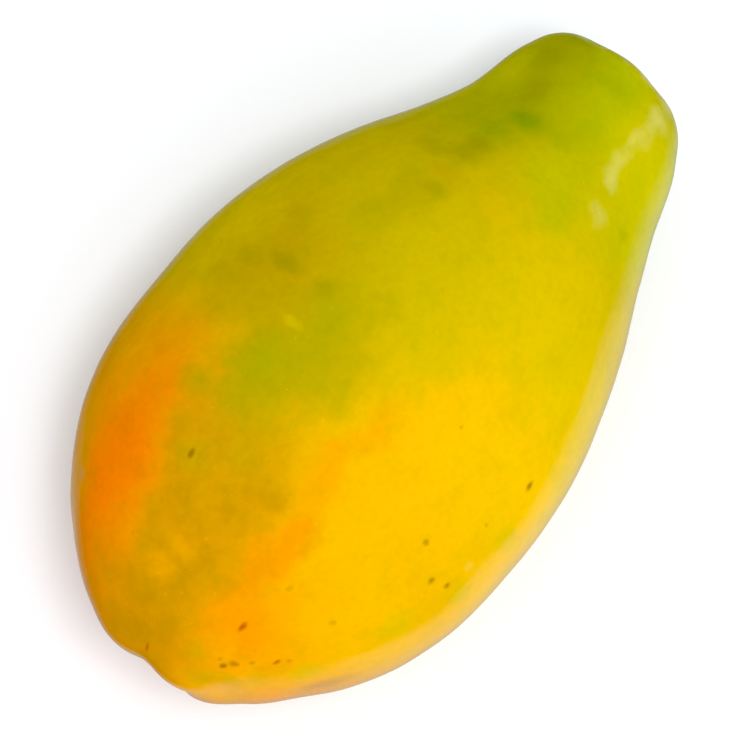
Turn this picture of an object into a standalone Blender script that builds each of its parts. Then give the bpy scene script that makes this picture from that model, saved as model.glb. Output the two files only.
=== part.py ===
"""A whole ripening papaya, lying on its side as it comes to rest on a table.

The fruit is one closed solid, in metres, +Z up. It is first turned about its
own axis, which runs along +X from the blossom end to the stem end. The skin
is then given its five carpel lobes, the sway of its neck and the unevenness of
a grown thing. Last the fruit is laid down: its neck droops until the centre of
mass is above the spot that it rests on, and the skin there is pressed flat.
"""

import math

import bmesh
import bpy
from mathutils import Matrix, Vector, noise
from mathutils.geometry import interpolate_bezier

NODE = "papaya"
LENGTH = 0.165  # blossom end to stem end, along the fruit's own axis

# The half outline, from the middle of the blossom end to the middle of the
# stem end: (distance along the axis, radius), both as shares of LENGTH.
OUTLINE = [
    (0.0135, 0.000),  # nub of the blossom scar
    (0.0140, 0.005),
    (0.0165, 0.009),  # foot of the nub, at the bottom of its hollow
    (0.0145, 0.015),
    (0.0075, 0.030),
    (0.0045, 0.048),  # rim of the blossom end
    (0.0055, 0.070),
    (0.0300, 0.121),
    (0.1000, 0.196),
    (0.2500, 0.279),
    (0.3900, 0.295),  # widest part of the belly
    (0.5000, 0.290),
    (0.6000, 0.267),
    (0.7000, 0.227),
    (0.7800, 0.186),
    (0.8400, 0.159),  # start of the neck
    (0.9400, 0.127),
    (0.9700, 0.109),
    (0.9870, 0.088),
    (0.9940, 0.066),  # rim of the stem end
    (0.9925, 0.050),
    (0.9870, 0.040),
    (0.9860, 0.035),  # foot of the stem scar
    (0.9885, 0.032),
    (0.9915, 0.029),
    (0.9910, 0.024),
    (0.9885, 0.012),
    (0.9880, 0.000),  # middle of the stem scar
]
RING_SPACING = 0.026  # longest step along the outline, as a share of LENGTH
SEGMENTS = 60
WELD = 1e-6
SHARP_EDGE = math.radians(40)

LOBES = 5
GROOVE_SOFTNESS = 0.8  # 0 makes the grooves creases, and larger values round them
# How far the grooves between the lobes lie below their crests, by distance
# along the axis. Both are shares of LENGTH.
GROOVE_DEPTHS = [
    (0.00, 0.0040),
    (0.05, 0.0050),
    (0.20, 0.0022),
    (0.62, 0.0015),
    (0.84, 0.0065),
    (1.00, 0.0025),
]
# Around each end's scar, out to this radius, the skin has no grooves. From
# there they reach their full depth over GROOVE_FADE.
BLOSSOM_SCAR = 0.008 * LENGTH
STEM_SCAR = 0.036 * LENGTH
GROOVE_FADE = 0.025 * LENGTH
GROOVE_TURN = math.radians(-65)  # a groove's place around the blossom end
GROOVE_TWIST = math.radians(-22)  # how far it has turned at the stem end

# The blossom end is askew: the lobe at this turn reaches furthest.
SKEW = 0.215
SKEW_TURN = math.radians(62)
SKEW_END = 0.14 * LENGTH  # where the skew has faded out, along the axis

# On one side the skin round the blossom end swells out into a fuller shoulder.
SHOULDER_TURN = math.radians(155)
SHOULDER_RISE = 0.0070 * LENGTH
SHOULDER_REACH = [(0.025 * LENGTH, 0), (0.060 * LENGTH, 1), (0.120 * LENGTH, 0)]  # radius

# How far the axis sways towards +Y, by distance along it. Both are shares of LENGTH.
SWAY = [
    (0.00, -0.0235),
    (0.12, 0.0005),
    (0.60, 0.0005),
    (0.84, -0.0075),
    (1.00, 0.0020),
]

SWELL_HEIGHT = 0.0022 * LENGTH  # unevenness of the grown skin
SWELL_SPAN = 0.30 * LENGTH  # size of its swells

NECK_DROOP = math.radians(5.6)  # brings the centre of mass above the rest spot
REST_PRESS = 0.0006  # how far the skin at the rest spot is pressed in


def clear_scene():
    """Remove the objects that the scene opens with."""
    for old in list(bpy.data.objects):
        bpy.data.objects.remove(old, do_unlink=True)


def eased(stops, place):
    """Read a value at a place between stops, easing in and out of each one."""
    if place <= stops[0][0]:
        return stops[0][1]
    for (start, low), (end, high) in zip(stops, stops[1:]):
        if place <= end:
            share = (place - start) / (end - start)
            return low + (high - low) * share * share * (3 - 2 * share)
    return stops[-1][1]


def heading(before, here, after):
    """Return the direction, at the middle point, of the circle through three points."""
    arriving = here - before
    leaving = after - here
    return (arriving / arriving.length_squared + leaving / leaving.length_squared).normalized()


def curve_through(outline, spacing):
    """Run a smooth curve through an outline, in steps no longer than spacing.

    It crosses the axis squarely at both ends, as if it went on into its mirror image.
    """
    points = [Vector(point) for point in outline]
    mirror = Vector((1, -1))
    chain = [points[1] * mirror, *points, points[-2] * mirror]
    made = [points[0]]
    for before, start, end, after in zip(chain, chain[1:], chain[2:], chain[3:]):
        span = (end - start).length
        leave = start + heading(before, start, end) * span / 3
        arrive = end - heading(start, end, after) * span / 3
        steps = math.ceil(span / spacing)
        made += interpolate_bezier(start, leave, arrive, end, steps + 1)[1:]
    return made


def turned_body():
    """Spin the half outline about +X into a closed surface."""
    body = bmesh.new()
    half = curve_through(OUTLINE, RING_SPACING)
    chain = [body.verts.new((LENGTH * along, LENGTH * radius, 0)) for along, radius in half]
    for here, there in zip(chain, chain[1:]):
        body.edges.new((here, there))
    bmesh.ops.spin(
        body,
        geom=body.verts[:] + body.edges[:],
        axis=(1, 0, 0),
        cent=(0, 0, 0),
        angle=math.tau,
        steps=SEGMENTS,
    )
    bmesh.ops.remove_doubles(body, verts=body.verts, dist=WELD)
    bmesh.ops.recalc_face_normals(body, faces=body.faces)
    return body


def lobe_height(along, turn):
    """Height across a lobe: 0 in a groove and 1 on a crest."""
    groove = GROOVE_TURN + GROOVE_TWIST * along
    wave = math.sin(LOBES / 2 * (turn - groove))
    soft = GROOVE_SOFTNESS
    return (math.hypot(wave, soft) - soft) / (math.hypot(1, soft) - soft)


def shoulder_rise(turn, radius):
    """How far the fuller shoulder stands out at a place round the blossom end."""
    facing = max(0, math.cos(turn - SHOULDER_TURN))
    return SHOULDER_RISE * facing * facing * eased(SHOULDER_REACH, radius)


def shape_skin(body):
    """Raise the lobes and the gentle unevenness along the skin's normals."""
    body.normal_update()
    moves = []
    for vert in body.verts:
        along = vert.co.x / LENGTH
        turn = math.atan2(vert.co.z, vert.co.y)
        depth = eased(GROOVE_DEPTHS, along) * LENGTH
        scar = BLOSSOM_SCAR if along < 0.5 else STEM_SCAR
        radius = math.hypot(vert.co.y, vert.co.z)
        depth *= eased([(scar, 0), (scar + GROOVE_FADE, 1)], radius)
        dip = depth * (1 - lobe_height(along, turn))
        swell = SWELL_HEIGHT * noise.noise(vert.co / SWELL_SPAN)
        if along < 0.5:
            swell += shoulder_rise(turn, radius)
        moves.append(vert.normal * (swell - dip))
    for vert, move in zip(body.verts, moves):
        vert.co += move


def bend_body(body):
    """Set the blossom end askew, and let the axis sway sideways at the neck."""
    for vert in body.verts:
        along = vert.co.x / LENGTH
        reach = vert.co.y * math.cos(SKEW_TURN) + vert.co.z * math.sin(SKEW_TURN)
        vert.co.x -= reach * eased([(0, SKEW), (SKEW_END, 0)], vert.co.x)
        vert.co.y += eased(SWAY, along) * LENGTH


def lay_down(body):
    """Tip the fruit into its resting pose, and press its lowest skin flat."""
    body.transform(Matrix.Rotation(NECK_DROOP, 4, "Y"))
    floor = min(vert.co.z for vert in body.verts) + REST_PRESS
    cut = bmesh.ops.bisect_plane(
        body,
        geom=body.verts[:] + body.edges[:] + body.faces[:],
        dist=WELD,
        plane_co=(0, 0, floor),
        plane_no=(0, 0, -1),
        clear_outer=True,
    )
    rim = [item for item in cut["geom_cut"] if isinstance(item, bmesh.types.BMEdge)]
    bmesh.ops.contextual_create(body, geom=rim)
    bmesh.ops.recalc_face_normals(body, faces=body.faces)
    for vert in body.verts:
        vert.co.z = max(vert.co.z - floor, 0.0)


def centre_on_base(body):
    """Move the fruit so that its box stands centred on the origin."""
    for axis in (0, 1):
        places = [vert.co[axis] for vert in body.verts]
        middle = (min(places) + max(places)) / 2
        for vert in body.verts:
            vert.co[axis] -= middle


def skin_material():
    """Waxy fruit skin, between green and orange."""
    skin = bpy.data.materials.new("papaya_skin")
    skin.use_nodes = True
    surface = skin.node_tree.nodes["Principled BSDF"]
    surface.inputs["Base Color"].default_value = (0.66, 0.44, 0.01, 1)
    surface.inputs["Roughness"].default_value = 0.42
    surface.inputs["Metallic"].default_value = 0.0
    return skin


def papaya():
    """Build the fruit as one smooth-shaded object."""
    body = turned_body()
    shape_skin(body)
    bend_body(body)
    lay_down(body)
    centre_on_base(body)
    mesh = bpy.data.meshes.new(NODE)
    body.to_mesh(mesh)
    body.free()
    mesh.shade_smooth()
    mesh.set_sharp_from_angle(angle=SHARP_EDGE)
    mesh.materials.append(skin_material())
    fruit = bpy.data.objects.new(NODE, mesh)
    bpy.context.scene.collection.objects.link(fruit)
    return fruit


clear_scene()
papaya()
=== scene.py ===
import math

import bmesh
import bpy
from mathutils import Matrix, Vector, noise
from mathutils.geometry import interpolate_bezier


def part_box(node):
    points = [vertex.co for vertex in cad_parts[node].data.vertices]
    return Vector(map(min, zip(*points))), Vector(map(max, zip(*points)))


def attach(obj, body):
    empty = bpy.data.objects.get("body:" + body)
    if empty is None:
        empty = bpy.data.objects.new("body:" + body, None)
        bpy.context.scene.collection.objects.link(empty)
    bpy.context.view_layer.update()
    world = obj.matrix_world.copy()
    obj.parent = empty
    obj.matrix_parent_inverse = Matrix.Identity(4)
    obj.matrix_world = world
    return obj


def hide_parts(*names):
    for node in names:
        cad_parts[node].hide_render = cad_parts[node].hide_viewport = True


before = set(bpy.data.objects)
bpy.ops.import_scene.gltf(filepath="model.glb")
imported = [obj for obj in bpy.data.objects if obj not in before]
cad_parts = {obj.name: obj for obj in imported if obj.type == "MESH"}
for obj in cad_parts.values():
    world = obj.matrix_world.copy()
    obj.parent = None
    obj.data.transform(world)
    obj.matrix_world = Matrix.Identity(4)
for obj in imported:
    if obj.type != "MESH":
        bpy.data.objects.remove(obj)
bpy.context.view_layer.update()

# ---------------------------------------------------------------- the fruit's form

LENGTH = 0.165  # blossom end to stem end, along the fruit's own axis

# The half outline, from the blossom scar to the stem scar: (distance along the
# axis, radius), both as shares of LENGTH.
OUTLINE = [
    (0.0135, 0.000),  # nub of the blossom scar
    (0.0140, 0.005),
    (0.0165, 0.009),  # foot of the nub, at the bottom of its hollow
    (0.0145, 0.015),
    (0.0075, 0.030),
    (0.0045, 0.048),  # rim of the blossom end
    (0.0055, 0.070),
    (0.0300, 0.121),
    (0.1000, 0.196),
    (0.2500, 0.279),
    (0.3900, 0.295),  # widest part of the belly
    (0.5000, 0.290),
    (0.6000, 0.267),
    (0.7000, 0.227),
    (0.7800, 0.186),
    (0.8400, 0.159),  # start of the neck
    (0.9400, 0.127),
    (0.9700, 0.109),
    (0.9870, 0.088),
    (0.9940, 0.066),  # rim of the stem end
    (0.9925, 0.050),
    (0.9870, 0.040),
    (0.9860, 0.035),  # foot of the stem scar
    (0.9885, 0.032),
    (0.9915, 0.029),
    (0.9910, 0.024),
    (0.9885, 0.012),
    (0.9880, 0.000),  # middle of the stem scar
]
RING_SPACING = 0.0052  # longest step between rings, as a share of LENGTH
LEAST_STEPS = 3  # rings between two outline points, however close they are
SEGMENTS = 256
HALFWAY = 0.5  # share of LENGTH where the blossom end's half meets the stem end's

# The lobes, the skew, the shoulder, the sway and the droop are those of the bare
# fruit, so that the skin has its form.
LOBES = 5
GROOVE_SOFTNESS = 0.8
GROOVE_DEPTHS = [
    (0.00, 0.0040),
    (0.05, 0.0050),
    (0.20, 0.0022),
    (0.62, 0.0015),
    (0.84, 0.0065),
    (1.00, 0.0025),
]
BLOSSOM_SCAR = 0.008 * LENGTH
STEM_SCAR = 0.036 * LENGTH
GROOVE_FADE = 0.025 * LENGTH
GROOVE_TURN = math.radians(-65)
GROOVE_TWIST = math.radians(-22)
SKEW = 0.215
SKEW_TURN = math.radians(62)
SKEW_END = 0.14 * LENGTH
SHOULDER_TURN = math.radians(155)
SHOULDER_RISE = 0.0070 * LENGTH
SHOULDER_REACH = [(0.025 * LENGTH, 0), (0.060 * LENGTH, 1), (0.120 * LENGTH, 0)]
SWAY = [
    (0.00, -0.0235),
    (0.12, 0.0005),
    (0.60, 0.0005),
    (0.84, -0.0075),
    (1.00, 0.0020),
]
SWELL_HEIGHT = 0.0022 * LENGTH
SWELL_SPAN = 0.30 * LENGTH
NECK_DROOP = math.radians(5.6)
REST_PRESS = 0.0006

DENT_HEIGHTS = [(0.016, 0.00022), (0.006, 0.00006)]  # (span, height) of the skin's small dents
CORK_HEIGHT = 0.00035  # how rough the dry stem scar is
CORK_SPAN = 0.0011
CORK_REACH = [(0.6 * STEM_SCAR, 1), (STEM_SCAR, 0)]  # (radius, share)
CRACKS = 9  # cracks that run out from the middle of the stem scar
CRACK_DEPTH = 0.0005
CRACK_REACH = [(0, 0), (0.4 * STEM_SCAR, 1)]
CRACK_SHARPNESS = 6
CRACK_WANDER = 0.6  # how far the cracks stray from straight, in radians
CRACK_WANDER_SPAN = 4 * CORK_SPAN
PUCKERS = 15  # small folds round the blossom scar
PUCKER_HEIGHT = 0.00022
PUCKER_REACH = [(0.4 * BLOSSOM_SCAR, 0), (2 * BLOSSOM_SCAR, 1), (7 * BLOSSOM_SCAR, 0)]
PUCKER_DRIFT = 2  # how unevenly the folds are spaced, in radians of their wave
PUCKER_DRIFTS = 2  # times that their spacing widens in one turn

# Each point of the skin carries its place on an even tube (PLACE), how high it
# lies across its lobe (LOBE, 0 in a groove), and its distance from the fruit's
# own axis (GIRTH). The colours are laid out by them.
PLACE = "skin_place"
LOBE = "skin_lobe"
GIRTH = "skin_girth"
PLACE_RADIUS = 0.25 * LENGTH


def eased(stops, place):
    """Read a value at a place between stops, easing in and out of each one."""
    if place <= stops[0][0]:
        return stops[0][1]
    for (start, low), (end, high) in zip(stops, stops[1:]):
        if place <= end:
            share = (place - start) / (end - start)
            return low + (high - low) * share * share * (3 - 2 * share)
    return stops[-1][1]


def heading(before, here, after):
    """Return the direction, at the middle point, of the circle through three points."""
    arriving = here - before
    leaving = after - here
    return (arriving / arriving.length_squared + leaving / leaving.length_squared).normalized()


def curve_through(outline, spacing):
    """Run a smooth curve through an outline, crossing the axis squarely at both ends."""
    points = [Vector(point) for point in outline]
    mirror = Vector((1, -1))
    chain = [points[1] * mirror, *points, points[-2] * mirror]
    made = [points[0]]
    for before, start, end, after in zip(chain, chain[1:], chain[2:], chain[3:]):
        span = (end - start).length
        leave = start + heading(before, start, end) * span / 3
        arrive = end - heading(start, end, after) * span / 3
        steps = max(LEAST_STEPS, math.ceil(span / spacing))
        made += interpolate_bezier(start, leave, arrive, end, steps + 1)[1:]
    return made


def skin_place(along, turn):
    """Wrap a place on the skin onto an even tube, where the markings are laid out."""
    around = PLACE_RADIUS * math.cos(turn), PLACE_RADIUS * math.sin(turn)
    return Vector((LENGTH * along, *around))


def ring_of_skin(body, along, radius):
    """Make one ring of points round the axis."""
    ring = []
    for step in range(SEGMENTS):
        turn = math.tau * step / SEGMENTS
        across, up = radius * math.cos(turn), radius * math.sin(turn)
        ring.append(body.verts.new((LENGTH * along, LENGTH * across, LENGTH * up)))
    return ring


def join_rings(body, ring, after):
    """Lay faces between two rings."""
    for step in range(SEGMENTS):
        ahead = (step + 1) % SEGMENTS
        body.faces.new((ring[step], ring[ahead], after[ahead], after[step]))


def close_ring(body, ring, along):
    """Close the skin from a ring to a single point on the axis."""
    middle = body.verts.new((LENGTH * along, 0, 0))
    for here, there in zip(ring, ring[1:] + ring[:1]):
        body.faces.new((middle, here, there))


def turned_body():
    """Turn the half outline about the axis into a closed skin."""
    body = bmesh.new()
    half = curve_through(OUTLINE, RING_SPACING)
    rings = [ring_of_skin(body, along, radius) for along, radius in half[1:-1]]
    for ring, after in zip(rings, rings[1:]):
        join_rings(body, ring, after)
    close_ring(body, rings[0], half[0].x)
    close_ring(body, rings[-1], half[-1].x)
    bmesh.ops.recalc_face_normals(body, faces=body.faces)
    return body


def lobe_height(along, turn):
    """Height across a lobe: 0 in a groove and 1 on a crest."""
    groove = GROOVE_TURN + GROOVE_TWIST * along
    wave = math.sin(LOBES / 2 * (turn - groove))
    soft = GROOVE_SOFTNESS
    return (math.hypot(wave, soft) - soft) / (math.hypot(1, soft) - soft)


def groove_dip(along, turn, radius):
    """How far the skin dips at a place because of the grooves between the lobes."""
    scar = BLOSSOM_SCAR if along < HALFWAY else STEM_SCAR
    depth = eased(GROOVE_DEPTHS, along) * LENGTH
    depth *= eased([(scar, 0), (scar + GROOVE_FADE, 1)], radius)
    return depth * (1 - lobe_height(along, turn))


def shoulder_rise(turn, radius):
    """How far the fuller shoulder stands out at a place round the blossom end."""
    facing = max(0, math.cos(turn - SHOULDER_TURN))
    return SHOULDER_RISE * facing * facing * eased(SHOULDER_REACH, radius)


def note_places(body):
    """Note on each point where it lies on the skin, for the colours to follow."""
    place = body.verts.layers.float_vector.new(PLACE)
    lobe = body.verts.layers.float.new(LOBE)
    girth = body.verts.layers.float.new(GIRTH)
    for vert in body.verts:
        along = vert.co.x / LENGTH
        turn = math.atan2(vert.co.z, vert.co.y)
        vert[place] = skin_place(along, turn)
        vert[lobe] = lobe_height(along, turn)
        vert[girth] = math.hypot(vert.co.y, vert.co.z)


def dents(point):
    """The skin's small uneven dents and rises."""
    return sum(height * noise.noise(point / span) for span, height in DENT_HEIGHTS)


def cork(point, turn, radius):
    """The dry, cracked surface of the stem scar."""
    wander = CRACK_WANDER * noise.noise(point / CRACK_WANDER_SPAN)
    crack = max(0.0, math.cos(CRACKS * (turn + wander))) ** CRACK_SHARPNESS
    grain = CORK_HEIGHT * noise.noise(point / CORK_SPAN)
    rise = grain - CRACK_DEPTH * crack * eased(CRACK_REACH, radius)
    return eased(CORK_REACH, radius) * rise


def puckers(turn, radius):
    """The small folds that gather round the blossom scar."""
    drift = PUCKER_DRIFT * math.sin(PUCKER_DRIFTS * turn)
    height = PUCKER_HEIGHT * eased(PUCKER_REACH, radius)
    return height * math.cos(PUCKERS * turn + drift)


def shape_skin(body):
    """Raise the lobes, the dents and both scars along the skin's normals."""
    body.normal_update()
    moves = []
    for vert in body.verts:
        along = vert.co.x / LENGTH
        turn = math.atan2(vert.co.z, vert.co.y)
        radius = math.hypot(vert.co.y, vert.co.z)
        rise = SWELL_HEIGHT * noise.noise(vert.co / SWELL_SPAN) + dents(vert.co)
        rise -= groove_dip(along, turn, radius)
        if along < HALFWAY:
            rise += shoulder_rise(turn, radius) + puckers(turn, radius)
        else:
            rise += cork(vert.co, turn, radius)
        moves.append(vert.normal * rise)
    for vert, move in zip(body.verts, moves):
        vert.co += move


def bend_body(body):
    """Set the blossom end askew, and let the axis sway sideways at the neck."""
    for vert in body.verts:
        along = vert.co.x / LENGTH
        reach = vert.co.y * math.cos(SKEW_TURN) + vert.co.z * math.sin(SKEW_TURN)
        vert.co.x -= reach * eased([(0, SKEW), (SKEW_END, 0)], vert.co.x)
        vert.co.y += eased(SWAY, along) * LENGTH


def lay_down(body):
    """Tip the fruit into its resting pose, and press its lowest skin flat."""
    body.transform(Matrix.Rotation(NECK_DROOP, 4, "Y"))
    floor = min(vert.co.z for vert in body.verts) + REST_PRESS
    for vert in body.verts:
        vert.co.z = max(vert.co.z - floor, 0.0)


def fit_to_box(body, low, high):
    """Fit the finished skin to the fruit's own box."""
    for axis in range(3):
        places = [vert.co[axis] for vert in body.verts]
        least, most = min(places), max(places)
        scale = (high[axis] - low[axis]) / (most - least)
        for vert in body.verts:
            vert.co[axis] = low[axis] + (vert.co[axis] - least) * scale


def papaya_skin():
    """Build the fruit's skin as one smooth piece."""
    body = turned_body()
    note_places(body)
    shape_skin(body)
    bend_body(body)
    lay_down(body)
    fit_to_box(body, *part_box("papaya"))
    mesh = bpy.data.meshes.new("papaya_skin")
    body.to_mesh(mesh)
    body.free()
    mesh.shade_smooth()
    skin = bpy.data.objects.new("papaya_skin", mesh)
    bpy.context.scene.collection.objects.link(skin)
    return skin


# ---------------------------------------------------------------- the skin's colours

# Tones of papaya skin as it ripens, as linear red, green and blue.
TONES = {
    "deep orange": (0.84, 0.205, 0.0),
    "orange": (0.71, 0.255, 0.0),
    "amber": (0.69, 0.31, 0.0),
    "golden": (0.70, 0.375, 0.0),
    "sun yellow": (0.71, 0.41, 0.0),
    "bright tip": (0.76, 0.35, 0.0),
    "lemon": (0.585, 0.425, 0.0),
    "straw": (0.50, 0.38, 0.0),
    "khaki": (0.50, 0.385, 0.0),
    "lime": (0.47, 0.415, 0.0),
    "spring green": (0.35, 0.39, 0.0),
    "sage": (0.35, 0.345, 0.0),
    "olive": (0.385, 0.315, 0.0),
    "moss": (0.34, 0.33, 0.0),
    "leaf green": (0.23, 0.29, 0.0),
    "ochre": (0.455, 0.31, 0.0),
    "brass": (0.56, 0.265, 0.0),
    "tan": (0.52, 0.285, 0.0),
    "bronze": (0.56, 0.25, 0.0),
    "brown": (0.33, 0.185, 0.0),
    "fresh lime": (0.41, 0.395, 0.0),
    # Lighter copies of the tones above, for painted light along the fruit's flanks and edges.
    "painted-light gold": (1.0, 0.64, 0.0),
    "painted-light khaki": (0.70, 0.53, 0.0),
    "painted-light sage": (0.54, 0.50, 0.0),
    "painted-light orange": (0.78, 0.35, 0.0),
    # Pale tones, used mostly for painted highlights, sheen and reflections.
    "cream": (0.68, 0.65, 0.26),
    "painted sheen": (0.56, 0.54, 0.20),
    "dusty pink": (0.60, 0.34, 0.15),
    "rust": (0.42, 0.21, 0.04),
    "dark olive": (0.24, 0.225, 0.0),
}

# The fruit ripens from its blossom end: its colour along the axis, under the patches.
RIPENING = [
    (0.00, "bronze"),
    (0.06, "orange"),
    (0.16, "amber"),
    (0.30, "golden"),
    (0.48, "straw"),
    (0.68, "straw"),
    (0.76, "khaki"),
    (0.84, "sage"),
    (1.00, "spring green"),
]

# Soft patches laid over it, first to last: name, tone, (distance along the axis,
# turn in degrees from +Y over the top), (reach along, reach round in degrees),
# softness of the edge, strength.
PATCHES = [
    ("golden underside", "golden", (0.30, 212), (0.24, 40), 0.50, 0.9),
    ("amber heel", "amber", (0.14, 240), (0.13, 34), 0.60, 0.9),
    ("ochre keel", "ochre", (0.44, 262), (0.17, 26), 0.60, 0.8),
    ("deep heel", "deep orange", (0.11, 290), (0.09, 24), 0.70, 0.9),
    ("golden back", "golden", (0.33, 322), (0.17, 26), 0.60, 0.9),
    ("pale belly", "lemon", (0.46, 285), (0.12, 18), 0.70, 0.7),
    ("mossy keel", "moss", (0.86, 318), (0.13, 34), 0.60, 0.8),
    ("golden flank", "golden", (0.29, 136), (0.25, 35), 0.22, 1.0),
    ("sunny flank", "sun yellow", (0.45, 137), (0.12, 26), 0.80, 1.0),
    ("lemon shoulder", "lemon", (0.65, 138), (0.13, 32), 0.70, 1.0),
    ("lime flank", "lime", (0.88, 136), (0.13, 26), 0.60, 1.0),
    ("lime ridge", "fresh lime", (0.76, 98), (0.05, 16), 0.80, 0.9),
    ("amber tip", "amber", (0.115, 135), (0.08, 28), 0.80, 1.0),
    ("orange tip", "orange", (0.085, 122), (0.05, 20), 0.80, 1.0),
    ("bright tip", "bright tip", (0.025, 138), (0.03, 28), 0.80, 1.0),
    ("amber seam", "amber", (0.28, 103), (0.11, 6), 0.60, 0.9),
    ("orange seam", "orange", (0.165, 108), (0.06, 6), 0.70, 0.9),
    ("khaki back", "khaki", (0.64, 52), (0.15, 34), 0.60, 1.0),
    ("brass crown", "brass", (0.13, 83), (0.13, 20), 0.30, 1.0),
    ("tan crown", "tan", (0.25, 76), (0.08, 18), 0.60, 0.9),
    ("olive crown", "olive", (0.38, 76), (0.10, 13), 0.50, 0.85),
    ("orange cheek", "orange", (0.23, 42), (0.12, 18), 0.70, 1.0),
    ("ochre back", "ochre", (0.45, 50), (0.09, 24), 0.70, 1.0),
    ("deep cheek", "deep orange", (0.165, 41), (0.10, 17), 0.70, 1.0),
    ("bronze tip", "bronze", (0.03, 68), (0.04, 42), 0.70, 0.8),
    ("olive isle", "olive", (0.35, 71), (0.05, 6), 0.60, 0.6),
    ("olive bank", "olive", (0.42, 86), (0.08, 7), 0.70, 0.5),
    ("olive streak", "olive", (0.62, 67), (0.08, 7), 0.80, 0.6),
    ("mossy neck", "moss", (0.88, 52), (0.13, 26), 0.60, 1.0),
    ("green rim", "spring green", (0.98, 66), (0.02, 30), 0.80, 0.8),
    # Painted light: lighter tones laid along the fruit's edges and flanks, lifting them where the
    # light falls off.
    ("khaki painted-light rim", "painted-light khaki", (0.52, 18), (0.22, 20), 0.80, 0.85),
    ("sage painted-light rim", "painted-light sage", (0.84, 16), (0.16, 22), 0.80, 0.9),
    ("amber painted-light rim", "painted-light orange", (0.27, 26), (0.09, 16), 0.80, 0.6),
    ("golden painted-light rim", "painted-light gold", (0.48, 178), (0.19, 30), 0.80, 0.35),
    ("orange painted-light rim", "painted-light orange", (0.15, 8), (0.09, 20), 0.60, 0.8),
    ("gold painted-light tip", "painted-light gold", (0.15, 150), (0.08, 22), 0.80, 0.2),
    ("lime painted-light rim", "painted-light sage", (0.88, 158), (0.11, 16), 0.80, 0.5),
]

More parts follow.
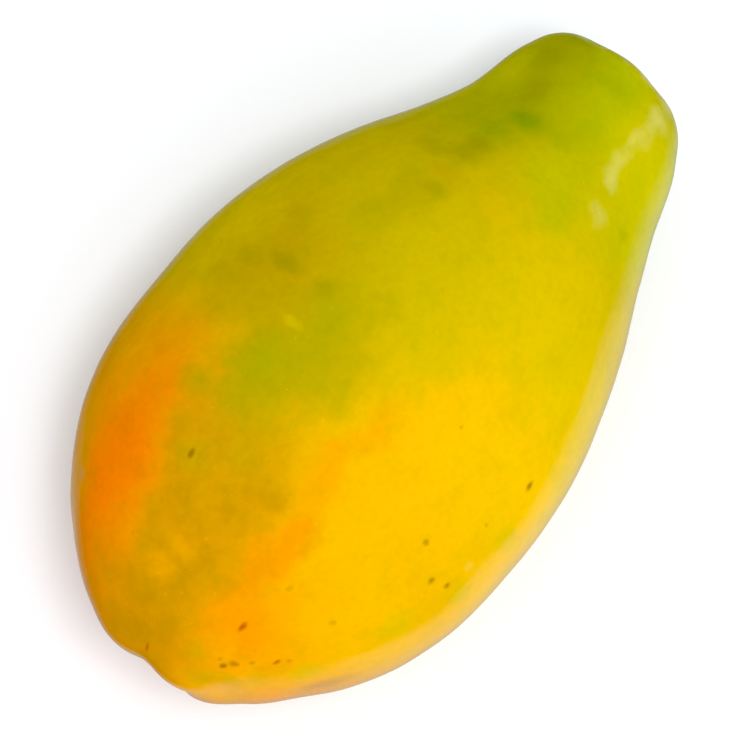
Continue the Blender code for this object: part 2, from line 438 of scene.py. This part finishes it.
# Small blotches, laid out in the same way.
BLOTCHES = [
    ("island", "orange", (0.207, 106), (0.024, 3), 0.60, 0.7),
    ("mottle", "brown", (0.060, 67), (0.014, 6), 0.80, 0.25),
    ("mottle", "brown", (0.062, 77), (0.012, 5), 0.80, 0.25),
    ("mottle", "brown", (0.030, 60), (0.012, 10), 0.80, 0.28),
    ("mottle", "brown", (0.053, 90), (0.014, 6), 0.80, 0.28),
    ("mottle", "brown", (0.034, 76), (0.010, 8), 0.80, 0.28),
    ("mottle", "brown", (0.088, 89), (0.014, 4), 0.80, 0.28),
    ("mottle", "brown", (0.114, 91), (0.014, 4), 0.80, 0.25),
    ("mottle", "brown", (0.111, 103), (0.012, 3), 0.80, 0.22),
    ("mottle", "brown", (0.218, 95), (0.014, 4), 0.80, 0.25),
    ("mottle", "brown", (0.186, 88), (0.016, 4), 0.80, 0.12),
    ("mottle", "brown", (0.161, 74), (0.012, 4), 0.80, 0.15),
    ("wave", "amber", (0.091, 78), (0.010, 5), 0.80, 0.6),
    ("wave", "amber", (0.116, 81), (0.008, 5), 0.80, 0.6),
    ("halo", "ochre", (0.205, 70), (0.018, 6), 0.80, 0.5),
    ("halo", "ochre", (0.237, 82), (0.016, 4), 0.80, 0.4),
    ("halo", "tan", (0.230, 63), (0.014, 4), 0.80, 0.6),
    ("halo", "olive", (0.280, 60), (0.018, 5), 0.80, 0.5),
    ("smudge", "dark olive", (0.465, 59), (0.010, 5), 0.80, 0.45),
    ("smudge", "dark olive", (0.448, 49), (0.012, 4), 0.80, 0.25),
    ("smudge", "dark olive", (0.463, 72), (0.012, 3), 0.80, 0.3),
    ("green isle", "moss", (0.415, 78), (0.075, 6), 0.80, 0.3),
    ("smudge", "moss", (0.446, 77), (0.014, 4), 0.80, 0.4),
    ("smudge", "moss", (0.348, 71), (0.028, 4), 0.80, 0.5),
    ("smudge", "dark olive", (0.660, 73), (0.010, 4), 0.80, 0.3),
    ("smudge", "tan", (0.693, 70), (0.010, 5), 0.80, 0.25),
    ("smudge", "dark olive", (0.732, 67), (0.015, 6), 0.80, 0.42),
    ("smudge", "dark olive", (0.716, 57), (0.013, 6), 0.80, 0.32),
    ("smudge", "dark olive", (0.757, 67), (0.012, 5), 0.80, 0.45),
    ("leaf spot", "leaf green", (0.792, 63), (0.016, 6), 0.80, 0.5),
    ("leaf spot", "leaf green", (0.827, 70), (0.015, 8), 0.70, 1.0),
    ("leaf spot", "leaf green", (0.826, 88), (0.010, 7), 0.80, 0.3),
    ("smudge", "dark olive", (0.873, 61), (0.026, 7), 0.80, 0.45),
    ("smudge", "dark olive", (0.922, 51), (0.024, 8), 0.80, 0.4),
    ("leaf spot", "leaf green", (0.939, 94), (0.012, 9), 0.80, 0.3),
    ("leaf spot", "leaf green", (0.800, 140), (0.007, 4), 0.80, 0.3),
    ("warm patch", "golden", (0.705, 90), (0.035, 10), 0.90, 0.2),
    ("smudge", "olive", (0.027, 122), (0.010, 8), 0.80, 0.36),
    ("smudge", "olive", (0.043, 136), (0.007, 8), 0.80, 0.36),
    ("smudge", "olive", (0.060, 146), (0.007, 6), 0.80, 0.3),
    ("smudge", "olive", (0.050, 109), (0.010, 5), 0.80, 0.3),
    ("tint", "lime", (0.107, 155), (0.014, 5), 0.80, 0.4),
    ("tint", "lime", (0.218, 152), (0.020, 5), 0.80, 0.4),
    ("tint", "lime", (0.306, 158), (0.016, 4), 0.80, 0.4),
    ("tint", "lime", (0.393, 157), (0.018, 5), 0.80, 0.4),
    ("blister", "cream", (0.332, 152), (0.008, 2), 0.60, 0.1),
    ("yellow dot", "lemon", (0.405, 71), (0.006, 2.5), 0.70, 0.6),
    # Painted sheen: pale patches along the neck's edges.
    ("neck painted sheen", "painted sheen", (0.86, 161), (0.13, 11), 0.90, 0.22),
    ("hollow painted sheen", "painted sheen", (0.82, 9), (0.10, 12), 0.90, 0.22),
    # Painted highlight on the rim of the stem end.
    ("stem rim painted highlight", "painted-light sage", (0.986, 106), (0.016, 34), 0.90, 0.7),
    # Painted reflection: a small greyish pink spot near the edge on the shaded side.
    ("pink painted reflection", "dusty pink", (0.125, 25), (0.007, 3), 0.90, 0.45),
    ("rust blotch", "rust", (0.117, 169), (0.028, 3.5), 0.80, 0.6),
]

# Painted highlights: pale glints on the neck and the rim of the stem end.
PAINTED_GLINTS = [
    ("neck painted glint", "cream", (0.952, 132), (0.014, 9), 0.90, 0.34),
    ("neck painted glint", "cream", (0.925, 127), (0.016, 5), 0.90, 0.22),
    ("neck painted glint", "cream", (0.892, 121), (0.022, 4), 0.90, 0.24),
    ("neck painted glint", "cream", (0.855, 117), (0.020, 4), 0.90, 0.22),
    ("neck painted glint", "cream", (0.836, 121), (0.010, 4), 0.90, 0.22),
    ("neck painted glint", "cream", (0.789, 122), (0.014, 5), 0.90, 0.20),
    ("stem rim painted glint", "cream", (0.983, 146), (0.012, 12), 0.90, 0.35),
]

# Small dark specks: (distance along, turn), (length, width) in millimetres, strength.
SPECKS = [
    ("red speck", (0.095, 117), (1.7, 1.5), 0.95),
    ("red speck", (0.090, 141), (1.3, 1.5), 0.8),
    ("red speck", (0.100, 144), (0.8, 1.2), 0.5),
    ("red speck", (0.021, 83), (1.4, 1.6), 0.8),
    ("dash", (0.053, 124), (1.0, 2.4), 0.85),
    ("dash", (0.061, 127), (1.0, 3.2), 0.6),
    ("dash", (0.057, 120), (0.8, 1.2), 0.4),
    ("dash", (0.073, 133), (0.8, 1.6), 0.45),
    ("brown speck", (0.157, 117), (1.2, 1.2), 0.35),
    ("brown speck", (0.164, 136), (1.2, 1.2), 0.35),
    ("brown speck", (0.205, 70), (1.9, 1.0), 0.85),
    ("brown speck", (0.296, 151), (1.4, 1.4), 0.75),
    ("brown speck", (0.284, 145), (1.5, 1.3), 0.8),
    ("brown speck", (0.309, 134), (1.3, 1.3), 0.6),
    ("brown speck", (0.382, 146), (0.9, 0.9), 0.4),
    ("brown speck", (0.459, 150), (2.2, 1.3), 0.85),
]
SPECK_TONES = {
    "red speck": (0.40, 0.085, 0.0),
    "dash": (0.27, 0.11, 0.0),
    "brown speck": (0.27, 0.13, 0.0),
}

# ---------------------------------------------------------------- building with nodes

VECTOR, FLOAT = "NodeSocketVector", "NodeSocketFloat"
ORIGIN = (0, 0, 0)


def place_node(tree, kind, feeds=(), **settings):
    """Place a node, set it up, and feed its inputs from values or other outputs."""
    node = tree.nodes.new(kind)
    for name, value in settings.items():
        setattr(node, name, value)
    for name, value in dict(feeds).items():
        if isinstance(value, bpy.types.NodeSocket):
            tree.links.new(value, node.inputs[name])
        else:
            node.inputs[name].default_value = value
    return node


def figure(tree, operation, *values):
    """Work out a number from others."""
    return place_node(tree, "ShaderNodeMath", enumerate(values), operation=operation).outputs[0]


def vector_figure(tree, operation, *values):
    """Work out a vector from others, or a vector's length or its share of another."""
    node = place_node(tree, "ShaderNodeVectorMath", enumerate(values), operation=operation)
    return node.outputs["Value" if operation in ("LENGTH", "DOT_PRODUCT") else "Vector"]


def smooth_step(tree, value, start, end, low=0.0, high=1.0):
    """Ease from low to high as a value passes from start to end."""
    feeds = {"Value": value, "From Min": start, "From Max": end, "To Min": low, "To Max": high}
    node = place_node(tree, "ShaderNodeMapRange", feeds, interpolation_type="SMOOTHSTEP")
    return node.outputs["Result"]


def blend_tone(tree, share, under, over, how="MIX"):
    """Lay one colour over another."""
    feeds = {0: share, 6: under, 7: over}
    node = place_node(tree, "ShaderNodeMix", feeds, data_type="RGBA", blend_type=how)
    return node.outputs[2]


def start_group(name, inputs, outputs):
    """Open a node group with named inputs and outputs."""
    group = bpy.data.node_groups.new(name, "ShaderNodeTree")
    for label, kind, value in inputs:
        socket = group.interface.new_socket(label, in_out="INPUT", socket_type=kind)
        socket.default_value = value
    for label, kind in outputs:
        group.interface.new_socket(label, in_out="OUTPUT", socket_type=kind)
    given = group.nodes.new("NodeGroupInput").outputs
    made = group.nodes.new("NodeGroupOutput").inputs
    return group, given, made


def use_group(tree, group, feeds):
    """Place a group, feed its inputs by name, and return its outputs."""
    return place_node(tree, "ShaderNodeGroup", feeds, node_tree=group).outputs


# ---------------------------------------------------------------- effects, as node groups


def ruffle_group():
    """Push places about by cloudy noise, so that a patch's edge isn't a plain oval."""
    inputs = [("Place", VECTOR, ORIGIN), ("Cloud", VECTOR, ORIGIN)]
    inputs += [("Scale", FLOAT, 100.0), ("Push", FLOAT, 0.001)]
    group, given, made = start_group("ruffled place", inputs, [("Place", VECTOR)])
    feeds = {"Vector": given["Cloud"], "Scale": given["Scale"], "Detail": 2.0}
    cloud = place_node(group, "ShaderNodeTexNoise", feeds).outputs["Color"]
    centred = vector_figure(group, "SUBTRACT", cloud, (0.5, 0.5, 0.5))
    feeds = {0: centred, "Scale": given["Push"]}
    push = place_node(group, "ShaderNodeVectorMath", feeds, operation="SCALE").outputs["Vector"]
    group.links.new(vector_figure(group, "ADD", given["Place"], push), made["Place"])
    return group


def patch_group():
    """A soft oval patch on the skin, up to its strength inside it and 0 outside."""
    inputs = [("Place", VECTOR, ORIGIN), ("Stretch", VECTOR, (1, 1, 1)), ("Shift", VECTOR, ORIGIN)]
    inputs += [("Inner", FLOAT, 0.5), ("Outer", FLOAT, 1.0), ("Strength", FLOAT, 1.0)]
    group, given, made = start_group("skin patch", inputs, [("Mask", FLOAT)])
    terms = given["Place"], given["Stretch"], given["Shift"]
    distance = vector_figure(group, "LENGTH", vector_figure(group, "MULTIPLY_ADD", *terms))
    mask = smooth_step(group, distance, given["Inner"], given["Outer"], given["Strength"], 0.0)
    group.links.new(mask, made["Mask"])
    return group


def mottle_group():
    """Cloudy mottling: 1 in the clouds and 0 between them."""
    inputs = [("Place", VECTOR, ORIGIN), ("Scale", FLOAT, 200.0)]
    inputs += [("Low", FLOAT, 0.4), ("High", FLOAT, 0.6)]
    group, given, made = start_group("mottling", inputs, [("Mask", FLOAT)])
    feeds = {"Vector": given["Place"], "Scale": given["Scale"], "Detail": 3.0}
    cloud = place_node(group, "ShaderNodeTexNoise", feeds).outputs["Fac"]
    group.links.new(smooth_step(group, cloud, given["Low"], given["High"]), made["Mask"])
    return group


def pore_group():
    """Small round pores, each in its own cell, present in only a share of the cells."""
    inputs = [("Place", VECTOR, ORIGIN), ("Scale", FLOAT, 400.0)]
    inputs += [("Size", FLOAT, 0.2), ("Share", FLOAT, 0.5)]
    group, given, made = start_group("pores", inputs, [("Mask", FLOAT)])
    feeds = {"Vector": given["Place"], "Scale": given["Scale"]}
    cells = place_node(group, "ShaderNodeTexVoronoi", feeds).outputs
    near = smooth_step(group, cells["Distance"], 0.0, given["Size"], 1.0, 0.0)
    draw = place_node(group, "ShaderNodeSeparateColor", {"Color": cells["Color"]}).outputs
    kept = figure(group, "LESS_THAN", draw["Red"], given["Share"])
    sized = figure(group, "MULTIPLY", near, kept)
    group.links.new(figure(group, "MULTIPLY", sized, draw["Green"]), made["Mask"])
    return group


# ---------------------------------------------------------------- the skin's finish

# How places are pushed about before a colour is laid out by them, so that its edge
# is uneven: (noise scale, push in metres).
BROAD_RUFFLE = (70.0, 0.014)
EDGE_RUFFLE = (300.0, 0.005)
BLOTCH_RUFFLE = (500.0, 0.0022)
GLINT_RUFFLE = (200.0, 0.0040)
SPECK_RUFFLE = (900.0, 0.0006)

# Clouds in the skin: (noise scale, where they begin, where they are full, strength).
MOTTLING = (180.0, 0.42, 0.68, 0.40)
CROWN_MOTTLING = (330.0, 0.44, 0.64, 0.22)
GRAIN = (620.0, 0.40, 0.65, 0.38)
CORK_GRAIN = (1100.0, 0.35, 0.60, 1.0)
GLINT_CLOUDS = (260.0, 0.25, 0.58, 1.0)  # where the painted glints show
STEM_HIGHLIGHT_CLOUDS = (240.0, 0.36, 0.62, 1.0)  # where the painted highlight round the stem end shows
MOTTLING_TINT = (0.84, 0.93, 1.0, 1.0)
CROWN_TINT = (0.74, 0.76, 1.0, 1.0)
GRAIN_TINT = (0.88, 0.92, 1.0, 1.0)

# Pale pores and dark freckles: (noise scale, size, share of the cells that have one).
PORES = (520.0, 0.20, 0.55)
PORE_STRENGTH = 0.25
PORE_TONE = (0.75, 0.62, 0.10, 1.0)
FRECKLES = (170.0, 0.11, 0.35)
FRECKLE_STRENGTH = 0.5
FRECKLE_TONE = (0.28, 0.16, 0.0, 1.0)

# Where the grooves are greener, and where the crown is mottled: (distance along,
# turn), (reach along, reach round), softness, strength.
GREEN_GROOVES = ((0.90, 62), (0.16, 30), 0.4, 0.45)
MOTTLED_CROWN = ((0.14, 78), (0.15, 26), 0.6, 1.0)
GROOVE_EDGE = 0.45  # height across a lobe below which it counts as a groove

# The painted highlight, a pale band round the rim of the stem end:
STEM_HIGHLIGHT_START, STEM_HIGHLIGHT_FULL = 0.972, 0.988  # distance along, as shares of LENGTH
STEM_HIGHLIGHT_INSIDE, STEM_HIGHLIGHT_OUTSIDE = 0.070, 0.092  # radius, as shares of LENGTH
STEM_HIGHLIGHT_STRENGTH = 0.45
LATEX_START, LATEX_FULL = 1.5 * STEM_SCAR, STEM_SCAR  # radius
LATEX_STRENGTH = 0.45
CORK_START, CORK_FULL = 1.02 * STEM_SCAR, 0.92 * STEM_SCAR
NUB_START, NUB_FULL = 1.8 * BLOSSOM_SCAR, 0.9 * BLOSSOM_SCAR
CORK = (0.30, 0.20, 0.10, 1.0)
DARK_CORK = (0.13, 0.075, 0.035, 1.0)
DRIED_LATEX = (0.60, 0.54, 0.36, 1.0)
DRY_NUB = (0.10, 0.055, 0.025, 1.0)

SPECK_SOFTNESS = 0.7
HALF_MM = 0.0005

GLOSS_LEVEL = 0.30
GLOSS_TINT = (1.0, 0.80, 0.12, 1.0)
ROUGHNESS = 0.16
NECK_ROUGHNESS = 0.24
NECK_START, NECK_FULL = 0.68, 0.90  # distance along, as shares of LENGTH
GRAIN_ROUGHNESS = 0.05
GLINT_ROUGHNESS = 0.30
MARK_ROUGHNESS = 0.40
GRAIN_RISE = 0.8
PORE_RISE = -0.5
BUMP = {"Strength": 0.10, "Distance": 0.0001}


def tone(name):
    """A named tone as a colour with alpha."""
    return (*TONES[name], 1.0)


def size_of(reach):
    """A patch's reach as half its size along, across and up, on the even tube."""
    along, turn = reach
    across = 2 * PLACE_RADIUS * math.sin(math.radians(turn) / 2)
    return LENGTH * along, across, across


class Skin:
    """The skin's nodes: its effects, and where each point of the skin lies."""

    def __init__(self, tree):
        self.tree = tree
        self.ruffle, self.patch = ruffle_group(), patch_group()
        self.mottle, self.pore = mottle_group(), pore_group()
        self.solid = place_node(tree, "ShaderNodeTexCoord").outputs["Object"]
        self.place = self.note(PLACE, "Vector")
        self.lobe = self.note(LOBE, "Fac")
        self.girth = self.note(GIRTH, "Fac")
        self.along = self.distance_along(self.place)
        self.ragged = self.ruffled(self.ruffled(self.place, BROAD_RUFFLE), EDGE_RUFFLE)

    def note(self, name, output):
        """Read what is noted on each point of the skin."""
        node = place_node(self.tree, "ShaderNodeAttribute", attribute_name=name)
        return node.outputs[output]

    def distance_along(self, place):
        """A place's distance along the fruit, as a share of LENGTH."""
        length = place_node(self.tree, "ShaderNodeSeparateXYZ", {0: place}).outputs["X"]
        return figure(self.tree, "DIVIDE", length, LENGTH)

    def ruffled(self, place, ruffle):
        """Places pushed about by noise."""
        scale, push = ruffle
        feeds = {"Place": place, "Cloud": self.solid, "Scale": scale, "Push": push}
        return use_group(self.tree, self.ruffle, feeds)["Place"]

    def clouds(self, kind):
        """A mask of clouds."""
        scale, low, high, strength = kind
        feeds = {"Place": self.solid, "Scale": scale, "Low": low, "High": high}
        mask = use_group(self.tree, self.mottle, feeds)["Mask"]
        return figure(self.tree, "MULTIPLY", mask, strength)

    def dots(self, kind):
        """A mask of small round dots."""
        scale, size, share = kind
        feeds = {"Place": self.solid, "Scale": scale, "Size": size, "Share": share}
        return use_group(self.tree, self.pore, feeds)["Mask"]

    def cover(self, place, spot, size, softness, strength):
        """A mask of one oval patch."""
        along, turn = spot
        stretch = Vector([1 / side for side in size])
        shift = -skin_place(along, math.radians(turn)) * stretch
        feeds = {"Place": place, "Stretch": stretch, "Shift": shift}
        feeds |= {"Inner": 1 - softness, "Outer": 1 + softness, "Strength": strength}
        return use_group(self.tree, self.patch, feeds)["Mask"]

    def ragged_cover(self, spot, reach, softness, strength):
        """A mask of one oval patch with a ragged edge."""
        return self.cover(self.ragged, spot, size_of(reach), softness, strength)

    def lay_patches(self, place, colour, patches):
        """Lay patches over a colour, one over the next. Returns the colour and their cover."""
        whole = 0.0
        for _, name, spot, reach, softness, strength in patches:
            mask = self.cover(place, spot, size_of(reach), softness, strength)
            colour = blend_tone(self.tree, mask, colour, tone(name))
            whole = figure(self.tree, "MAXIMUM", whole, mask)
        return colour, whole

    def lay_specks(self, colour):
        """Lay the small dark specks over a colour. Returns the colour and their cover."""
        place = self.ruffled(self.place, SPECK_RUFFLE)
        whole = 0.0
        for kind, spot, (length, width), strength in SPECKS:
            size = length * HALF_MM, width * HALF_MM, width * HALF_MM
            mask = self.cover(place, spot, size, SPECK_SOFTNESS, strength)
            colour = blend_tone(self.tree, mask, colour, (*SPECK_TONES[kind], 1.0))
            whole = figure(self.tree, "MAXIMUM", whole, mask)
        return colour, whole


def ripening_ramp(tree, along):
    """The fruit's colour along its axis, from blossom end to stem end."""
    ramp = place_node(tree, "ShaderNodeValToRGB", {"Fac": along})
    bands = ramp.color_ramp.elements
    for stop, _ in RIPENING[1:-1]:
        bands.new(stop)
    for band, (_, name) in zip(bands, RIPENING):
        band.color = tone(name)
    return ramp.outputs["Color"]


def ripened(skin):
    """The colour of the ripening skin, with its patches, green grooves and blotches."""
    tree = skin.tree
    colour = ripening_ramp(tree, skin.distance_along(skin.ragged))
    colour, _ = skin.lay_patches(skin.ragged, colour, PATCHES)
    in_groove = smooth_step(tree, skin.lobe, GROOVE_EDGE, 0.0)
    share = figure(tree, "MULTIPLY", in_groove, skin.ragged_cover(*GREEN_GROOVES))
    colour = blend_tone(tree, share, colour, tone("moss"))
    frayed = skin.ruffled(skin.place, BLOTCH_RUFFLE)
    return skin.lay_patches(frayed, colour, BLOTCHES)[0]


def mottled(skin, colour, grain):
    """Cloud a colour with broad mottling, the crown's brown mottling and fine grain."""
    tree = skin.tree
    colour = blend_tone(tree, skin.clouds(MOTTLING), colour, MOTTLING_TINT, "MULTIPLY")
    crown = skin.ragged_cover(*MOTTLED_CROWN)
    share = figure(tree, "MULTIPLY", skin.clouds(CROWN_MOTTLING), crown)
    colour = blend_tone(tree, share, colour, CROWN_TINT, "MULTIPLY")
    return blend_tone(tree, grain, colour, GRAIN_TINT, "MULTIPLY")


def lay_painted_glints(skin, colour):
    """Lay the painted glints, pale highlights, over a colour. Returns the colour and their cover.
    """
    glint_place = skin.ruffled(skin.place, GLINT_RUFFLE)
    over, glints = skin.lay_patches(glint_place, colour, PAINTED_GLINTS)
    return blend_tone(skin.tree, skin.clouds(GLINT_CLOUDS), colour, over), glints


def lay_stem_highlight(skin, colour):
    """Lay the uneven painted highlight, a pale band that runs round the shoulder of the stem end.
    """
    tree = skin.tree
    rising = smooth_step(tree, skin.along, STEM_HIGHLIGHT_START, STEM_HIGHLIGHT_FULL, 0.0, STEM_HIGHLIGHT_STRENGTH)
    inside, outside = STEM_HIGHLIGHT_INSIDE * LENGTH, STEM_HIGHLIGHT_OUTSIDE * LENGTH
    band = figure(tree, "MULTIPLY", rising, smooth_step(tree, skin.girth, inside, outside))
    share = figure(tree, "MULTIPLY", band, skin.clouds(STEM_HIGHLIGHT_CLOUDS))
    return blend_tone(tree, share, colour, tone("cream"))


def dotted(tree, colour, pores, freckles):
    """Lay the pale pores and the dark freckles over a colour."""
    colour = blend_tone(tree, figure(tree, "MULTIPLY", pores, PORE_STRENGTH), colour, PORE_TONE)
    share = figure(tree, "MULTIPLY", freckles, FRECKLE_STRENGTH)
    return blend_tone(tree, share, colour, FRECKLE_TONE)


def stem_scarred(skin, colour):
    """Lay the corky stem scar in its ring of dried latex. Returns the colour and its cover."""
    tree = skin.tree
    at_stem = figure(tree, "GREATER_THAN", skin.along, HALFWAY)
    ring = smooth_step(tree, skin.girth, LATEX_START, LATEX_FULL, 0.0, LATEX_STRENGTH)
    colour = blend_tone(tree, figure(tree, "MULTIPLY", ring, at_stem), colour, DRIED_LATEX)
    cork = blend_tone(tree, skin.clouds(CORK_GRAIN), DARK_CORK, CORK)
    within = smooth_step(tree, skin.girth, CORK_START, CORK_FULL)
    scar = figure(tree, "MULTIPLY", within, at_stem)
    return blend_tone(tree, scar, colour, cork), scar


def tip_scarred(skin, colour):
    """Lay the dry nub of the blossom end. Returns the colour and its cover."""
    tree = skin.tree
    at_tip = figure(tree, "LESS_THAN", skin.along, HALFWAY)
    nub = smooth_step(tree, skin.girth, NUB_START, NUB_FULL)
    tip = figure(tree, "MULTIPLY", nub, at_tip)
    return blend_tone(tree, tip, colour, DRY_NUB), tip


def roughness(skin, grain, glints, marks):
    """How rough the skin is: more on the neck, the grain, the painted glints and the dry marks."""
    tree = skin.tree
    rough = smooth_step(tree, skin.along, NECK_START, NECK_FULL, ROUGHNESS, NECK_ROUGHNESS)
    rough = figure(tree, "MULTIPLY_ADD", grain, GRAIN_ROUGHNESS, rough)
    rough = figure(tree, "MULTIPLY_ADD", glints, GLINT_ROUGHNESS, rough)
    return figure(tree, "MULTIPLY_ADD", marks, MARK_ROUGHNESS, rough)


def relief(tree, grain, pores):
    """The fine relief of the grain and the pores, as a normal."""
    rise = figure(tree, "MULTIPLY", grain, GRAIN_RISE)
    height = figure(tree, "MULTIPLY_ADD", pores, PORE_RISE, rise)
    return place_node(tree, "ShaderNodeBump", {"Height": height, **BUMP}).outputs["Normal"]


def skin_material():
    """Waxy papaya skin, ripening from orange at the blossom end to green at the neck."""
    material = bpy.data.materials.new("papaya_skin")
    material.use_nodes = True
    tree = material.node_tree
    skin = Skin(tree)
    grain, pores = skin.clouds(GRAIN), skin.dots(PORES)
    # Painted highlights: the pale glints on the neck and the stem-end rim.
    colour, glints = lay_painted_glints(skin, mottled(skin, ripened(skin), grain))
    # Painted highlight: a pale band round the rim of the stem end.
    colour = dotted(tree, lay_stem_highlight(skin, colour), pores, skin.dots(FRECKLES))
    colour, specks = skin.lay_specks(colour)
    colour, stem = stem_scarred(skin, colour)
    colour, tip = tip_scarred(skin, colour)
    marks = figure(tree, "MAXIMUM", specks, figure(tree, "MAXIMUM", stem, tip))

    surface = tree.nodes["Principled BSDF"].inputs
    tree.links.new(colour, surface["Base Color"])
    tree.links.new(roughness(skin, grain, glints, marks), surface["Roughness"])
    tree.links.new(relief(tree, grain, pores), surface["Normal"])
    surface["Specular IOR Level"].default_value = GLOSS_LEVEL
    surface["Specular Tint"].default_value = GLOSS_TINT
    return material


# ---------------------------------------------------------------- studio

FLOOR_HALF = 6.0
FLOOR_PALE = (0.83, 0.85, 0.89, 1)
FLOOR_ROUGHNESS = 0.9
TENT_LEAN = Vector((-0.18, -0.80, 0.60)).normalized()  # the tent's brightest direction
TENT = [(-1.0, 0.35), (1.0, 1.60)]  # (share of that direction, brightness)
BACKDROP = 1.25
# A long white card that the gloss mirrors, beside and under the fruit: (degrees from
# +Y round the fruit's length, brightness).
CARD = [
    (-145, 0.0),
    (-137, 1.0),
    (-120, 0.9),
    (-100, 0.65),
    (-78, 0.55),
    (-64, 0.26),
    (-50, 0.0),
]
CARD_ENDS, CARD_GONE = 0.40, 0.70  # how far off square the card starts to end, and ends
# A soft sheen that the gloss mirrors from above: (height of the direction, brightness).
SHEEN = [(0.0, 0.0), (0.35, 0.45)]
SOFTBOX_AT = Vector((-0.07, -0.26, 1.46))
SOFTBOX_SIDE = 0.26
SOFTBOX_POWER = 8.3


def floor_material():
    """Plain pale floor, with no gloss."""
    material = bpy.data.materials.new("pale_floor")
    material.use_nodes = True
    surface = material.node_tree.nodes["Principled BSDF"].inputs
    surface["Base Color"].default_value = FLOOR_PALE
    surface["Roughness"].default_value = FLOOR_ROUGHNESS
    surface["Specular IOR Level"].default_value = 0
    return material


def lay_floor():
    """A wide plain pale floor."""
    mesh = bpy.data.meshes.new("studio_floor")
    half = FLOOR_HALF
    corners = [(-half, -half, 0), (half, -half, 0), (half, half, 0), (-half, half, 0)]
    mesh.from_pydata(corners, [], [(0, 1, 2, 3)])
    mesh.materials.append(floor_material())
    floor = bpy.data.objects.new("studio_floor", mesh)
    bpy.context.scene.collection.objects.link(floor)
    floor.visible_glossy = False


def brightness(tree, value, stops):
    """A brightness that eases from stop to stop as a value passes them."""
    strength = stops[0][1]
    for (start, low), (end, high) in zip(stops, stops[1:]):
        step = smooth_step(tree, value, start, end, 0.0, high - low)
        strength = figure(tree, "ADD", strength, step)
    return strength


def cloth(tree, strength):
    """A light cloth of one brightness, or of a brightness that changes over it."""
    return place_node(tree, "ShaderNodeBackground", {"Strength": strength}).outputs[0]


def tent_light(tree, toward):
    """The white tent that lights the fruit, brighter on one side."""
    lean = vector_figure(tree, "DOT_PRODUCT", toward, TENT_LEAN)
    return cloth(tree, brightness(tree, lean, TENT))


def mirrored_light(tree, toward):
    """The card and the sheen that the gloss mirrors."""
    side = place_node(tree, "ShaderNodeSeparateXYZ", {0: toward}).outputs
    turn = figure(tree, "ARCTAN2", side["Z"], side["Y"])
    card = brightness(tree, turn, [(math.radians(stop), bright) for stop, bright in CARD])
    off_square = figure(tree, "ABSOLUTE", side["X"])
    within = smooth_step(tree, off_square, CARD_ENDS, CARD_GONE, 1.0, 0.0)
    card = figure(tree, "MULTIPLY", card, within)
    return cloth(tree, figure(tree, "ADD", card, brightness(tree, side["Z"], SHEEN)))


def choose_light(tree, share, first, second):
    """Show the first light, or the second where the share is 1."""
    return place_node(tree, "ShaderNodeMixShader", {0: share, 1: first, 2: second}).outputs[0]


def hang_tent():
    """Surround the floor with the tent, with a plain white backdrop for the camera."""
    world = bpy.data.worlds.new("light_tent")
    bpy.context.scene.world = world
    world.use_nodes = True
    tree = world.node_tree
    tree.nodes.clear()
    toward = place_node(tree, "ShaderNodeTexCoord").outputs["Generated"]
    ray = place_node(tree, "ShaderNodeLightPath").outputs
    tent, mirrored = tent_light(tree, toward), mirrored_light(tree, toward)
    lit = choose_light(tree, ray["Is Glossy Ray"], tent, mirrored)
    plain = cloth(tree, BACKDROP)
    seen = choose_light(tree, ray["Is Camera Ray"], lit, plain)
    place_node(tree, "ShaderNodeOutputWorld", {"Surface": seen})


def hang_softbox():
    """A large softbox, high on one side."""
    lamp = bpy.data.lights.new("softbox", "AREA")
    lamp.shape = "SQUARE"
    lamp.size = SOFTBOX_SIDE
    lamp.energy = SOFTBOX_POWER
    box = bpy.data.objects.new("softbox", lamp)
    bpy.context.scene.collection.objects.link(box)
    box.location = SOFTBOX_AT
    box.visible_glossy = False
    box.rotation_mode = "QUATERNION"
    box.rotation_quaternion = (-SOFTBOX_AT).to_track_quat("-Z", "Y")


CAMERA_AZIMUTH = math.radians(-51)
CAMERA_ELEVATION = math.radians(82)
CAMERA_DISTANCE = 1.0
CAMERA_SENSOR = 36
CAMERA_LENS = 226.5
CAMERA_REACH = 50
AIM_RIGHT, AIM_UP = -0.0021, -0.0032  # where the camera aims, from the fruit's middle


def camera_direction():
    """The direction from the fruit to the camera."""
    level = math.cos(CAMERA_ELEVATION)
    across, back = math.sin(CAMERA_AZIMUTH) * level, -math.cos(CAMERA_AZIMUTH) * level
    return Vector((across, back, math.sin(CAMERA_ELEVATION)))


def set_camera():
    """Look down on the fruit, steeply and from a little to one side."""
    low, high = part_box("papaya")
    back = camera_direction()
    facing = (-back).to_track_quat("-Z", "Y")
    aim = (low + high) / 2 + facing @ Vector((AIM_RIGHT, AIM_UP, 0))
    data = bpy.data.cameras.new("camera")
    data.lens = CAMERA_LENS
    data.sensor_width = CAMERA_SENSOR
    data.clip_end = CAMERA_REACH
    camera = bpy.data.objects.new("camera", data)
    bpy.context.scene.collection.objects.link(camera)
    camera.rotation_mode = "QUATERNION"
    camera.rotation_quaternion = facing
    camera.location = aim + back * CAMERA_DISTANCE
    bpy.context.scene.camera = camera


DEEPEST_BLACK = 0.018  # light below this prints as black


def develop_picture():
    """Show colours as they are, with deep blacks so that the skin stays rich."""
    develop = bpy.context.scene.view_settings
    develop.view_transform = "Standard"
    develop.use_curve_mapping = True
    develop.curve_mapping.black_level = (DEEPEST_BLACK, DEEPEST_BLACK, DEEPEST_BLACK)
    develop.curve_mapping.update()


develop_picture()
set_camera()
lay_floor()
hang_tent()
hang_softbox()
skin = papaya_skin()
skin.data.materials.append(skin_material())
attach(skin, "root")
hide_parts("papaya")
